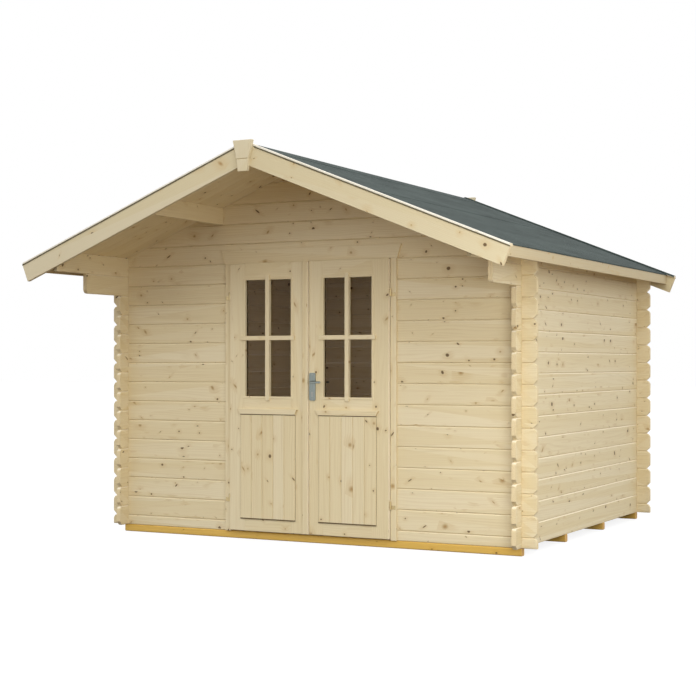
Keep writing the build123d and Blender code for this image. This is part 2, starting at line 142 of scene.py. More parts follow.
class Grain(Enum):
    """Run of a board's grain."""

    LEVEL = ((1, 0, 0), (0, 0, 1), (0, 1, 0))
    DEEP = ((0, 1, 0), (0, 0, 1), (1, 0, 0))
    DEEP_FLAT = ((0, 1, 0), (1, 0, 0), (0, 0, 1))
    UPRIGHT = ((0, 0, 1), (1, 0, 0), (0, 1, 0))
    SLOPE_EDGE = ((PITCH_COS, 0, -PITCH_SIN), (PITCH_SIN, 0, PITCH_COS), (0, 1, 0), True)
    SLOPE_FLAT = ((PITCH_COS, 0, -PITCH_SIN), (0, 1, 0), (PITCH_SIN, 0, PITCH_COS), True)

    def __init__(self, along: Point, across: Point, through: Point, mirrored: bool = False) -> None:
        """Keeps the directions of the board.

        Args:
            along: Direction along the grain.
            across: Direction across it, in the board's face.
            through: Direction through the board.
            mirrored: If the left slope mirrors the right one.
        """
        self.along = along
        self.directions = (along, across, through)
        self.mirrored = mirrored


@dataclass(frozen=True)
class Finish:
    """A surface, named for its real material and how that was made."""

    name: str

    def surface(self, tree: Tree) -> dict[str, object]:
        """Draws the surface.

        Args:
            tree: Node tree that takes the nodes.

        Returns:
            Inputs of its shader by name.
        """
        raise NotImplementedError

    @functools.cache
    def material(self) -> bpy.types.Material:
        """Builds the material, once for all the pieces that have it.

        Returns:
            The material.
        """
        material, tree = new_material(self.name)
        add(tree, "OutputMaterial", add(tree, "BsdfPrincipled", named=self.surface(tree)))
        return material


@dataclass(frozen=True)
class PlanedSpruce(Finish):
    """Raw spruce, planed: straw yellow, silky, nearly matt, with faint growth lines and dark knots.

    Growth rings of spruce are 2 to 4 mm wide, too fine to show from across a garden, so they are
    drawn ring_mm wide. Knots are round where the branch was cut across and slender slashes where
    it was cut along: dead branches leave small dark ones, live branches wider ones of a soft
    brown. The growth lines bend round them. Chamfers along the logs that look up, and sides of
    the door frames that look sideways, get a painted highlight, paler than the planed face. Log
    ends behind the bargeboards, past a set distance to the front or back, get painted shade,
    darker than the other ends.
    """

    grain: Grain
    pale: str = "#ECDEBA"
    warm: str = "#E3D1A4"
    latewood: str = "#C5A972"
    streak: str = "#CCAD75"
    knot: str = "#583E20"
    live_knot: str = "#A9834B"
    end_wood: str = "#E7D2A4"
    # Painted shade on the log ends behind the bargeboards.
    sealed: str = "#7F7050"
    # Painted highlight on chamfers that look up and on faces that look sideways.
    fresh: str = "#FFF4DA"
    roughness: float = 0.62
    specular: float = 0.3
    ior: float = 1.45
    tone_spread: float = 0.75
    # Metres of timber between the stretches that boards are cut from, along, across and through.
    stretch: Point = (61.0, 23.0, 7.0)
    # Another draw of the board's number for its tone.
    tone_draw: float = 97.0

    # Growth rings: their layers lean by up to ring_lean radians and wander, in waves of 1.1 m along
    # the grain and 143 mm across it. Late wood, a ring's dark part, fades in clouds of 430 mm.
    ring_mm: float = 11.0
    ring_lean: float = 1.4
    wander: float = 0.085
    wander_per_m: Pair = (0.9, 7.0)
    knot_bend: float = 0.010
    late_from: float = -0.2
    late_depth: Pair = (0.04, 0.22)
    cloud_per_m: float = 2.3
    cloud_range: Pair = (0.35, 0.7)

    # Streaks: darker fibres, streak_mm across and about 590 mm long.
    streak_mm: float = 16.0
    streak_per_m: float = 1.7
    streak_range: Pair = (0.5, 0.8)
    streak_depth: float = 0.34
    figure: float = 0.85

    # Knots: cells of the face that hold one or none, the share of cells that do, and their radii.
    # Large ones are rare. Between the two slash_leans, in radians, a knot goes from round to slash.
    # Rims are ragged in waves of 11 mm. In radii, a dead and a live knot fade from core_edge out to
    # rim_edge, and the growth lines bend from the first bend_reach in to the second.
    knot_cell_mm: Pair = (150.0, 67.5)
    knot_scatter: float = 0.95
    knot_share: float = 0.42
    knot_mm: Pair = (3.0, 12.0)
    knot_rarity: float = 3.0
    knot_lean: float = 1.0
    slash_lean: Pair = (0.4, 0.9)
    round_shape: Pair = (0.85, 1.0)
    slash_shape: Pair = (2.2, 0.55)
    ragged: float = 0.004
    ragged_per_m: float = 90.0
    live_share: float = 0.35
    live_swell: float = 1.8
    core_edge: Pair = (0.75, 0.1)
    rim_edge: float = 1.15
    bend_reach: Pair = (4.5, 0.9)
    core_depth: float = 0.88
    halo_depth: float = 0.30

    # Sawn ends and painted highlights: how squarely a face looks along the grain, up or sideways.
    end_facing: Pair = (0.80, 0.90)
    sloped_end_facing: Pair = (0.86, 0.92)
    end_depth: float = 0.75
    end_rings: float = 0.25
    # Log ends past this distance to the front or back, behind the bargeboards, get painted shade.
    sealed_past: float = 0.0
    # Painted highlights: shares for chamfers that look up and for faces that look sideways.
    fresh_chamfers: float = 0.0
    chamfer_from: Pair = (0.30, 0.55)
    chamfer_to: Pair = (0.95, 0.85)
    fresh_sides: float = 0.0
    side_facing: Pair = (0.85, 0.95)

    # Relief that the plane leaves, half a millimetre at most.
    streak_relief: float = 0.6
    relief: float = 0.35
    relief_depth: float = 0.0005

    def _board(self, tree: Tree) -> Socket:
        """Gives a number from 0 to 1 that differs from board to board.

        Args:
            tree: Node tree that takes the nodes.

        Returns:
            Socket with the number.
        """
        island = add(tree, "NewGeometry").outputs["Random Per Island"]
        whole = add(tree, "ObjectInfo").outputs["Random"]
        return add(tree, "Math", add(tree, "Math", island, whole), operation="FRACT").outputs[0]

    def _places(self, tree: Tree, board: Socket) -> list[Socket]:
        """Gives the place on the board along, across and through its grain, in metres.

        Args:
            tree: Node tree that takes the nodes.
            board: Number of the board, which moves each board to its own stretch of timber.

        Returns:
            Three sockets.
        """
        place = add(tree, "TexCoord").outputs["Object"]
        if self.grain.mirrored:
            parts = add(tree, "SeparateXYZ", place)
            outward = add(tree, "Math", parts.outputs[0], operation="ABSOLUTE")
            place = add(tree, "CombineXYZ", outward, parts.outputs[1], parts.outputs[2])
        sockets = []
        for direction, shift in zip(self.grain.directions, self.stretch):
            value = add(tree, "VectorMath", place, direction, operation="DOT_PRODUCT")
            moved = add(tree, "Math", board, shift, value.outputs["Value"],
                        operation="MULTIPLY_ADD")
            sockets.append(moved.outputs[0])
        return sockets

    def _drawn_out(self, tree: Tree, places: list[Socket], per_m: Pair, detail: float,
                   roughness: float) -> Node:
        """Makes a noise that is drawn out along the grain.

        Args:
            tree: Node tree that takes the nodes.
            places: Places along, across and through the board.
            per_m: Waves of the noise in a metre, along and across the grain.
            detail: Number of finer noises in it.
            roughness: Share of each finer noise.

        Returns:
            Node with the noise.
        """
        along, across = per_m
        field = [add(tree, "Math", place, scale, operation="MULTIPLY")
                 for place, scale in zip(places, (along, across, across))]
        return add(tree, "TexNoise", add(tree, "CombineXYZ", *field),
                   named={"Scale": 1.0, "Detail": detail, "Roughness": roughness})

    def _knots(self, tree: Tree, along: Socket, across: Socket) -> tuple[Node, Node, Node]:
        """Scatters knots: each cell of the face holds one knot or none.

        Args:
            tree: Node tree that takes the nodes.
            along: Place along the grain.
            across: Place across the grain.

        Returns:
            Masks of the knots, of the wood that bends round them and of the cells with a live knot.
        """
        long_cell, wide_cell = (size / MM_PER_M for size in self.knot_cell_mm)
        small, large = (size / MM_PER_M + self.ragged / 2 for size in self.knot_mm)
        wobble = add(tree, "TexNoise", add(tree, "CombineXYZ", along, across),
                     named={"Scale": self.ragged_per_m, "Detail": 2.0})
        face = add(tree, "CombineXYZ", add(tree, "Math", along, long_cell, operation="DIVIDE"),
                   add(tree, "Math", across, wide_cell, operation="DIVIDE"))
        cells = add(tree, "TexVoronoi", face, named={"Scale": 1.0, "Randomness": self.knot_scatter},
                    voronoi_dimensions="2D")
        away = add(tree, "VectorMath", face, cells.outputs["Position"], operation="SUBTRACT")
        away = add(tree, "VectorMath", away, (long_cell, wide_cell, 0.0), operation="MULTIPLY")
        chance, size, turn = add(tree, "SeparateColor", cells.outputs["Color"]).outputs
        there = add(tree, "Math", chance, self.knot_share, operation="LESS_THAN")
        live = add(tree, "Math", chance, self.knot_share * self.live_share, operation="LESS_THAN")
        lean = add(tree, "MapRange", turn, 0.0, 1.0, -self.knot_lean, self.knot_lean)
        away = add(tree, "VectorRotate", away, named={"Angle": lean}, rotation_type="Z_AXIS")
        slant = add(tree, "Math", lean, operation="ABSOLUTE")
        shape = [add(tree, "MapRange", slant, *self.slash_lean, *ends)
                 for ends in zip(self.round_shape, self.slash_shape)]
        away = add(tree, "VectorMath", away, add(tree, "CombineXYZ", *shape), operation="MULTIPLY")
        distance = add(tree, "VectorMath", away, operation="LENGTH").outputs["Value"]
        rim = add(tree, "Math", wobble, self.ragged, distance, operation="MULTIPLY_ADD")
        rare = add(tree, "Math", size, self.knot_rarity, operation="POWER")
        radius = add(tree, "MapRange", rare, 0.0, 1.0, small, large)
        swell = add(tree, "MapRange", live, 0.0, 1.0, 1.0, self.live_swell)
        ratio = add(tree, "Math", rim, add(tree, "Math", swell, radius, operation="MULTIPLY"),
                    operation="DIVIDE")
        inner = add(tree, "MapRange", live, 0.0, 1.0, *self.core_edge)
        core = add(tree, "MapRange", ratio, self.rim_edge, inner, interpolation_type="SMOOTHSTEP")
        bend = add(tree, "MapRange", ratio, *self.bend_reach, interpolation_type="SMOOTHSTEP")
        return (add(tree, "Math", core, there, operation="MULTIPLY"),
                add(tree, "Math", bend, there, operation="MULTIPLY"), live)

    def _rings(self, tree: Tree, places: list[Socket], board: Socket, bend: Node) -> Node:
        """Draws the growth rings: leaning layers that wander along the board and bend round knots.

        Args:
            tree: Node tree that takes the nodes.
            places: Places along, across and through the board.
            board: Number of the board, which leans the layers.
            bend: Mask of the wood round the knots.

        Returns:
            Node with the depth of the late wood.
        """
        _, across, through = places
        lean = add(tree, "Math", board, self.ring_lean, operation="MULTIPLY")
        rise, run = (add(tree, "Math", lean, operation=part) for part in ("SINE", "COSINE"))
        flat = add(tree, "Math", across, run, operation="MULTIPLY")
        layer = add(tree, "Math", through, rise, flat, operation="MULTIPLY_ADD")
        wander = self._drawn_out(tree, places, self.wander_per_m, detail=2.5, roughness=0.45)
        layer = add(tree, "Math", wander, self.wander, layer, operation="MULTIPLY_ADD")
        layer = add(tree, "Math", bend, self.knot_bend, layer, operation="MULTIPLY_ADD")
        turn_per_m = 2 * math.pi * MM_PER_M / self.ring_mm
        turn = add(tree, "Math", layer, turn_per_m, operation="MULTIPLY")
        wave = add(tree, "Math", turn, operation="SINE")
        return add(tree, "MapRange", wave, self.late_from, 1.0, interpolation_type="SMOOTHSTEP")

    def _end_wood(self, tree: Tree, facing: Node, rings: Node) -> tuple[Node, Socket]:
        """Colours the sawn ends, with painted shade on those behind the bargeboards.

        Args:
            tree: Node tree that takes the nodes.
            facing: How squarely the surface looks along X, Y and Z.
            rings: Depth of the late wood.

        Returns:
            Mask of the ends and their colour.
        """
        along = [abs(part) for part in self.grain.along]
        sawn = add(tree, "VectorMath", facing, along, operation="DOT_PRODUCT").outputs["Value"]
        limits = self.sloped_end_facing if self.grain.mirrored else self.end_facing
        mask = add(tree, "MapRange", sawn, *limits, 0.0, self.end_depth)
        late = add(tree, "Math", rings, self.end_rings, operation="MULTIPLY")
        coats = [(late, self.latewood)]
        # Painted shade on the log ends behind the bargeboards.
        if self.sealed_past:
            place = add(tree, "TexCoord").outputs["Object"]
            outward = add(tree, "VectorMath", place, operation="ABSOLUTE")
            depth = add(tree, "SeparateXYZ", outward).outputs[1]
            behind = add(tree, "Math", depth, self.sealed_past, operation="GREATER_THAN")
            coats.append((behind, self.sealed))
        colour = srgb(self.end_wood)
        for share, coat in coats:
            colour = add(tree, "Mix", named={0: share, 6: colour, 7: srgb(coat)},
                         data_type="RGBA").outputs[2]
        return mask, colour

    def _fresh_cuts(self, tree: Tree, facing: Node) -> Node:
        """Finds the painted highlights: chamfers that look up and faces that look sideways.

        Args:
            tree: Node tree that takes the nodes.
            facing: How squarely the surface looks along X, Y and Z.

        Returns:
            Mask of the painted highlights.
        """
        upward = add(tree, "SeparateXYZ", add(tree, "TexCoord").outputs["Normal"]).outputs[2]
        risen = add(tree, "MapRange", upward, *self.chamfer_from, 0.0, self.fresh_chamfers)
        level = add(tree, "MapRange", upward, *self.chamfer_to)
        lit_chamfers = add(tree, "Math", risen, level, operation="MULTIPLY")
        sideways = add(tree, "SeparateXYZ", facing).outputs[0]
        lit_sides = add(tree, "MapRange", sideways, *self.side_facing, 0.0, self.fresh_sides)
        return add(tree, "Math", lit_chamfers, lit_sides, operation="MAXIMUM")

    def surface(self, tree: Tree) -> dict[str, object]:
        """Draws the wood.

        Args:
            tree: Node tree that takes the nodes.

        Returns:
            Inputs of its shader by name.
        """
        board = self._board(tree)
        places = self._places(tree, board)
        knots, bend, live = self._knots(tree, places[0], places[1])
        rings = self._rings(tree, places, board, bend)
        fibres = (self.streak_per_m, MM_PER_M / self.streak_mm)
        streaks = self._drawn_out(tree, places, fibres, detail=5.0, roughness=0.6)
        cloud = add(tree, "TexNoise", add(tree, "CombineXYZ", *places),
                    named={"Scale": self.cloud_per_m, "Detail": 3.0})
        draw = add(tree, "Math", board, self.tone_draw, operation="MULTIPLY")
        tone = add(tree, "TexWhiteNoise", named={"W": draw}, noise_dimensions="1D").outputs["Value"]
        warmth = add(tree, "MapRange", tone, 0.0, 1.0, 0.5 - self.tone_spread / 2,
                     0.5 + self.tone_spread / 2)
        faded = add(tree, "MapRange", cloud, *self.cloud_range,
                    *(depth * self.figure for depth in self.late_depth))
        branch = add(tree, "Mix", named={0: live, 6: srgb(self.knot), 7: srgb(self.live_knot)},
                     data_type="RGBA").outputs[2]
        normal = add(tree, "TexCoord").outputs["Normal"]
        facing = add(tree, "VectorMath", normal, operation="ABSOLUTE")
        fibre_depth = self.streak_depth * self.figure
        colour = srgb(self.pale)
        for share, coat in (
            (warmth, srgb(self.warm)),
            (add(tree, "Math", rings, faded, operation="MULTIPLY"), srgb(self.latewood)),
            (add(tree, "MapRange", streaks, *self.streak_range, 0.0, fibre_depth),
             srgb(self.streak)),
            (add(tree, "Math", bend, self.halo_depth, operation="MULTIPLY"), srgb(self.streak)),
            (add(tree, "Math", knots, self.core_depth, operation="MULTIPLY"), branch),
            self._end_wood(tree, facing, rings),
            # Painted highlights on chamfers that look up and on faces that look sideways.
            (self._fresh_cuts(tree, facing), srgb(self.fresh)),
        ):
            colour = add(tree, "Mix", named={0: share, 6: colour, 7: coat},
                         data_type="RGBA").outputs[2]
        fibre_relief = add(tree, "Math", streaks, self.streak_relief, operation="MULTIPLY")
        height = add(tree, "Math", rings, fibre_relief)
        bump = add(tree, "Bump", named={
            "Strength": self.relief, "Distance": self.relief_depth, "Height": height})
        return {"Base Color": colour, "Roughness": self.roughness, "IOR": self.ior,
                "Specular IOR Level": self.specular, "Normal": bump}


@dataclass(frozen=True)
class MineralFelt(Finish):
    """Bitumen felt with rolled-in slate grit: dark grey-green, matt and speckled, paler in patches.

    Slate grit is about 1 mm across, too fine to show, so it is drawn grit_mm wide. Wear comes in
    patches of 170 mm, drawn out to 560 mm along the ridge. Where the felt is turned down at the
    verges, past verge_place, it is drawn brown: painted shade, the colour of the shadow line under
    the verge laths.
    """

    name: str = "bitumen_felt_slate_grit"
    slate: str = "#47514D"
    dark: str = "#363F3C"
    pale: str = "#5C6761"
    # Brown of the painted shade on the felt turned down at the verges.
    bitumen: str = "#6A6147"
    roughness: float = 0.92
    specular: float = 0.25
    ior: float = 1.5
    grit_mm: float = 7.0
    speckle_from: float = 0.55
    speckle_depth: float = 0.65
    wear_per_m: Point = (6.0, 1.8, 6.0)
    wear_range: Pair = (0.35, 0.65)
    verge_place: float = 1.72
    verge_facing: Pair = (0.6, 0.8)
    relief: float = 0.6
    relief_depth: float = 0.0012

    def surface(self, tree: Tree) -> dict[str, object]:
        """Draws the felt.

        Args:
            tree: Node tree that takes the nodes.

        Returns:
            Inputs of its shader by name.
        """
        place = add(tree, "TexCoord").outputs["Object"]
        grit = add(tree, "TexVoronoi", place, named={"Scale": MM_PER_M / self.grit_mm})
        shade = add(tree, "SeparateColor", grit.outputs["Color"])
        field = add(tree, "VectorMath", place, self.wear_per_m, operation="MULTIPLY")
        wear = add(tree, "TexNoise", field, named={"Scale": 1.0, "Detail": 5.0, "Roughness": 0.6})
        normal = add(tree, "TexCoord").outputs["Normal"]
        facing, outward = (
            add(tree, "SeparateXYZ", add(tree, "VectorMath", way, operation="ABSOLUTE")).outputs[1]
            for way in (normal, place))
        turned_down = add(tree, "MapRange", facing, *self.verge_facing)
        at_verge = add(tree, "Math", outward, self.verge_place, operation="GREATER_THAN")
        colour = srgb(self.dark)
        for share, coat in (
            (add(tree, "MapRange", wear, *self.wear_range), self.slate),
            (add(tree, "MapRange", shade, self.speckle_from, 1.0, 0.0, self.speckle_depth),
             self.pale),
            # Painted shade: the felt turned down at the verges is drawn brown.
            (add(tree, "Math", turned_down, at_verge, operation="MULTIPLY"), self.bitumen),
        ):
            colour = add(tree, "Mix", named={0: share, 6: colour, 7: srgb(coat)},
                         data_type="RGBA").outputs[2]
        bump = add(tree, "Bump", named={
            "Strength": self.relief, "Distance": self.relief_depth, "Height": shade})
        return {"Base Color": colour, "Roughness": self.roughness, "IOR": self.ior,
                "Specular IOR Level": self.specular, "Normal": bump}


@dataclass(frozen=True)
class FloatGlass(Finish):
    """Float glass, fire polished: clear, with sharp reflections that a faint roller wave bends.

    Float glass has an IOR of 1.52. It is lower here, because the panes mirror little of the room.
    """

    name: str = "float_glass_fire_polished"
    tint: str = "#EBE3DF"
    ior: float = 1.20
    wave_mm: float = 180.0
    relief: float = 0.08
    relief_depth: float = 0.001

    def surface(self, tree: Tree) -> dict[str, object]:
        """Draws the glass.

        Args:
            tree: Node tree that takes the nodes.

        Returns:
            Inputs of its shader by name.
        """
        wave = add(tree, "TexNoise", add(tree, "TexCoord").outputs["Object"],
                   named={"Scale": MM_PER_M / self.wave_mm, "Detail": 1.0})
        bump = add(tree, "Bump", named={
            "Strength": self.relief, "Distance": self.relief_depth, "Height": wave})
        return {"Base Color": srgb(self.tint), "Roughness": 0.0, "IOR": self.ior,
                "Transmission Weight": 1.0, "Normal": bump}


@dataclass(frozen=True)
class WorkedMetal(Finish):
    """Bare or plated metal, half matt, with marks of its working that spread its highlights.

    Brushing leaves fine lines along run. A plated surface has no run, and its marks are clouds.
    Both are finer than the render shows, so they are drawn mark_mm wide.
    """

    colour: str
    darker: str
    mark_mm: float
    run: Point
    roughness: float
    drawn_out: float = 0.97
    mark_range: Pair = (0.3, 0.7)
    gloss_spread: Pair = (0.08, -0.05)
    relief: float = 0.15
    relief_depth: float = 0.0002

    def surface(self, tree: Tree) -> dict[str, object]:
        """Draws the metal.

        Args:
            tree: Node tree that takes the nodes.

        Returns:
            Inputs of its shader by name.
        """
        scale = [MM_PER_M / self.mark_mm * (1.0 - self.drawn_out * part) for part in self.run]
        field = add(tree, "VectorMath", add(tree, "TexCoord").outputs["Object"], scale,
                    operation="MULTIPLY")
        marks = add(tree, "TexNoise", field, named={"Scale": 1.0, "Detail": 3.0})
        colour = add(tree, "Mix", named={0: add(tree, "MapRange", marks, *self.mark_range),
                                         6: srgb(self.darker), 7: srgb(self.colour)},
                     data_type="RGBA").outputs[2]
        gloss = add(tree, "MapRange", marks, *self.mark_range,
                    *(self.roughness + spread for spread in self.gloss_spread))
        bump = add(tree, "Bump", named={
            "Strength": self.relief, "Distance": self.relief_depth, "Height": marks})
        return {"Base Color": colour, "Metallic": 1.0, "Roughness": gloss, "Normal": bump}


# The same rubber is also painted shadow, in the strips that frame the door planks.
@dataclass(frozen=True)
class ExtrudedRubber(Finish):
    """Rubber, extruded: dark brown, smooth, with a soft broad sheen and a slightly uneven skin."""

    name: str = "extruded_rubber"
    colour: str = "#6A5739"
    darker: str = "#604E32"
    patch_mm: float = 25.0
    roughness: float = 0.55
    specular: float = 0.3
    ior: float = 1.52

    def surface(self, tree: Tree) -> dict[str, object]:
        """Draws the rubber.

        Args:
            tree: Node tree that takes the nodes.

        Returns:
            Inputs of its shader by name.
        """
        patches = add(tree, "TexNoise", add(tree, "TexCoord").outputs["Object"],
                      named={"Scale": MM_PER_M / self.patch_mm, "Detail": 2.0})
        colour = add(tree, "Mix", named={0: patches, 6: srgb(self.darker), 7: srgb(self.colour)},
                     data_type="RGBA").outputs[2]
        return {"Base Color": colour, "Roughness": self.roughness, "IOR": self.ior,
                "Specular IOR Level": self.specular}


# Logs and boards as they leave the planer. The side walls have fewer, larger and darker knots.
# The logs' chamfers that look up get a painted highlight.
LOG_LEVEL = PlanedSpruce("planed_spruce_log_level", Grain.LEVEL, fresh_chamfers=0.2)
# The side walls' log ends behind the bargeboards get painted shade.
LOG_DEEP = PlanedSpruce("planed_spruce_log_deep", Grain.DEEP, fresh_chamfers=0.7, knot_share=0.3,
                        knot_mm=(4.5, 14.0), live_share=0.15, sealed_past=1.70)
PURLIN = PlanedSpruce("planed_spruce_purlin", Grain.DEEP, knot_share=0.3)
BOARD_FLOOR = PlanedSpruce("planed_spruce_floor", Grain.DEEP_FLAT)
ROOF_BOARD = PlanedSpruce("planed_spruce_roof_board", Grain.SLOPE_FLAT)
# Boards along the roof's edges, a little darker than the logs, and the paler laths. The eave
# boards are darker still: painted shade, for the shade under the felt's edge.
EAVE = PlanedSpruce("planed_spruce_eave_board", Grain.DEEP, pale="#D0C09A", warm="#C8B68F",
                    knot_share=0.3)
RIDGE = PlanedSpruce("planed_spruce_ridge_plate", Grain.UPRIGHT, pale="#DDD1B2", warm="#D5C69D",
                     knot_share=0.05, figure=0.5)
BARGE = replace(RIDGE, name="planed_spruce_bargeboard", grain=Grain.SLOPE_EDGE, knot_share=0.2)
LATH = PlanedSpruce("planed_spruce_lath", Grain.SLOPE_FLAT, pale="#F4EEDF", warm="#F0E8D4",
                    knot_share=0.05)
# Door timber, sanded after planing: more even in tone and a little glossier than the logs.
DOOR_LEVEL = PlanedSpruce("sanded_spruce_door_level", Grain.LEVEL, knot_share=0.22, tone_spread=0.5,
                          roughness=0.55)
DOOR_UPRIGHT = replace(DOOR_LEVEL, name="sanded_spruce_door_upright", grain=Grain.UPRIGHT,
                       knot_share=0.3)
# Stile and cover-strip sides that look sideways get a painted highlight, lightening the gaps.
DOOR_STILE = replace(DOOR_UPRIGHT, name="sanded_spruce_door_stile", fresh_sides=0.95)
DOOR_POST = PlanedSpruce("planed_spruce_door_post", Grain.UPRIGHT, knot_share=0.6, tone_spread=0.5)
# Spruce soaked in preservative against rot: a deep ochre yellow.
BEARER = PlanedSpruce("impregnated_spruce_bearer", Grain.LEVEL, pale="#E6BE62", warm="#DCB052",
                      latewood="#B48734", streak="#C4953F", end_wood="#CFA265", knot_share=0.2)
FELT = MineralFelt()
GLASS = FloatGlass()
# Rubber for the panes' seals; also the painted shadow round the door planks.
RUBBER_AND_SHADOW = ExtrudedRubber()
# Grey with upright brush lines, then plated steel in cloudy light grey and in cloudy pale yellow.
ALUMINIUM = WorkedMetal("brushed_aluminium", "#939A96", "#818883", 1.5, (0, 0, 1), 0.36)
ZINC = WorkedMetal("zinc_plated_steel", "#A9A8A1", "#8B8A84", 6.0, (0, 0, 0), 0.42)
YELLOW_ZINC = WorkedMetal("yellow_passivated_zinc", "#CBB88E", "#BFAB80", 6.0, (0, 0, 0), 0.50)


def soften(target: bpy.types.Object, width: float) -> None:
    """Eases the sharp edges of a piece, as a pass with sandpaper does.

    Args:
        target: Piece to ease.
        width: Width of the eased edge.
    """
    bevel = target.modifiers.new("eased_edges", "BEVEL")
    bevel.width = width
    bevel.segments = EASED_STEPS
    bevel.limit_method = "ANGLE"
    bevel.angle_limit = EASED_ANGLE
    bevel.use_clamp_overlap = True
    target.modifiers.new("even_shading", "WEIGHTED_NORMAL")


def dress(node: str, finish: Finish, edge: float = 0.0) -> None:
    """Gives a solid of the frame its finish and eased edges.

    Args:
        node: Name of the node.
        finish: Finish of its surface.
        edge: Width of its eased edges.
    """
    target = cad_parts[node]
    for slot in target.material_slots:
        slot.material = finish.material()
    weld = target.modifiers.new("joined_faces", "WELD")
    weld.merge_threshold = WELD_REACH
    if edge:
        soften(target, edge)
    LOG.info("%s: %s", node, finish.name)


def piece(name: str, mesh: Mesh, finish: Finish, body: str, edge: float = 0.0,
          stands_for: tuple[str, ...] = ()) -> None:
    """Makes an object of a mesh and lets it ride on a body.

    Args:
        name: Name of the piece.
        mesh: Its mesh, which is used up.
        finish: Finish of its surface.
        body: Body it rides on.
        edge: Width of its eased edges.
        stands_for: Nodes that it replaces.
    """
    bmesh.ops.recalc_face_normals(mesh, faces=mesh.faces)
    data = bpy.data.meshes.new(name)
    mesh.to_mesh(data)
    mesh.free()
    data.polygons.foreach_set("use_smooth", [True] * len(data.polygons))
    data.set_sharp_from_angle(angle=SHARP_ANGLE)
    target = bpy.data.objects.new(name, data)
    bpy.context.scene.collection.objects.link(target)
    data.materials.append(finish.material())
    if edge:
        soften(target, edge)
    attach(target, body)
    if stands_for:
        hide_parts(*stands_for)
    LOG.info("%s: %d faces, %s", name, len(data.polygons), finish.name)


def loft(mesh: Mesh, outlines: Sequence[Outline]) -> None:
    """Adds a closed form over a row of outlines to a mesh.

    Args:
        mesh: Mesh that takes it.
        outlines: Corners of each outline in the same order, from one end to the other.
    """
    rings = [[mesh.verts.new(corner) for corner in outline] for outline in outlines]
    mesh.faces.new(rings[0][::-1])
    mesh.faces.new(rings[-1])
    for low, high in zip(rings, rings[1:]):
        for i in range(len(low)):
            j = (i + 1) % len(low)
            mesh.faces.new((low[i], low[j], high[j], high[i]))


def prism(mesh: Mesh, outline: Outline, run: Point) -> None:
    """Adds a closed prism to a mesh.

    Args:
        mesh: Mesh that takes it.
        outline: Corners of one end.
        run: Way from that end to the other.
    """
    loft(mesh, [outline, [tuple(Vector(corner) + Vector(run)) for corner in outline]])


def oval(centre: Vector, across: Vector, up: Vector, sides: int) -> list[Vector]:
    """Gives the corners of an oval ring.

    Args:
        centre: Middle of the ring.
        across: Way from the middle to one side.
        up: Way from the middle to the top.
        sides: Number of corners.

    Returns:
        The corners.
    """
    angles = [2 * math.pi * i / sides for i in range(sides)]
    return [centre + across * math.cos(angle) + up * math.sin(angle) for angle in angles]


def turned(mesh: Mesh, centre: Vector, axis: Vector, profile: Sequence[Pair], sides: int) -> None:
    """Adds a turned form to a mesh.

    Args:
        mesh: Mesh that takes it.
        centre: Start of its axis.
        axis: Direction of its axis.
        profile: Radius and place along the axis of each ring, from the start to the end.
        sides: Number of faces round it.
    """
    across = axis.orthogonal().normalized()
    other = axis.cross(across).normalized()
    loft(mesh, [oval(centre + axis * place, across * radius, other * radius, sides)
                for radius, place in profile])


@dataclass
class Walls:
    """Log walls, gables and the floor with its bearers."""

    log_edge: float = 0.0012
    bearer_edge: float = 0.002
    board_width: float = 0.098
    board_gap: float = 0.0012
    board_edge: float = 0.0015

    def dress(self) -> None:
        """Finishes the logs and bearers."""
        for node in ("front_wall_right", "front_wall_left", "front_gable", "back_wall",
                     "back_gable"):
            dress(node, LOG_LEVEL, self.log_edge)
        for side in Side:
            dress(f"{side}_wall", LOG_DEEP, self.log_edge)
        dress("floor_bearers", BEARER, self.bearer_edge)

    def floor(self) -> None:
        """Lays the floor boards from front to back, cut out round the doorway."""
        low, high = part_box("floor")
        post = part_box("door_post_right")[1]
        door_x, door_y = post.x + self.board_gap, post.y + self.board_gap
        mesh = bmesh.new()
        count = round((high.x - low.x) / self.board_width)
        width = (high.x - low.x) / count
        for i in range(count):
            x0 = low.x + i * width + self.board_gap / 2
            x1 = low.x + (i + 1) * width - self.board_gap / 2
            cuts = [x0, *(x for x in (-door_x, door_x) if x0 < x < x1), x1]
            front = []
            for left, right in zip(cuts, cuts[1:]):
                y = door_y if abs(left + right) / 2 < door_x else low.y
                front += [(left, y, low.z), (right, y, low.z)]
            outline = [*front, (x1, high.y, low.z), (x0, high.y, low.z)]
            prism(mesh, outline, (0, 0, high.z - low.z))
        piece("floor_boards", mesh, BOARD_FLOOR, "cabin", self.board_edge,
              ("floor",))


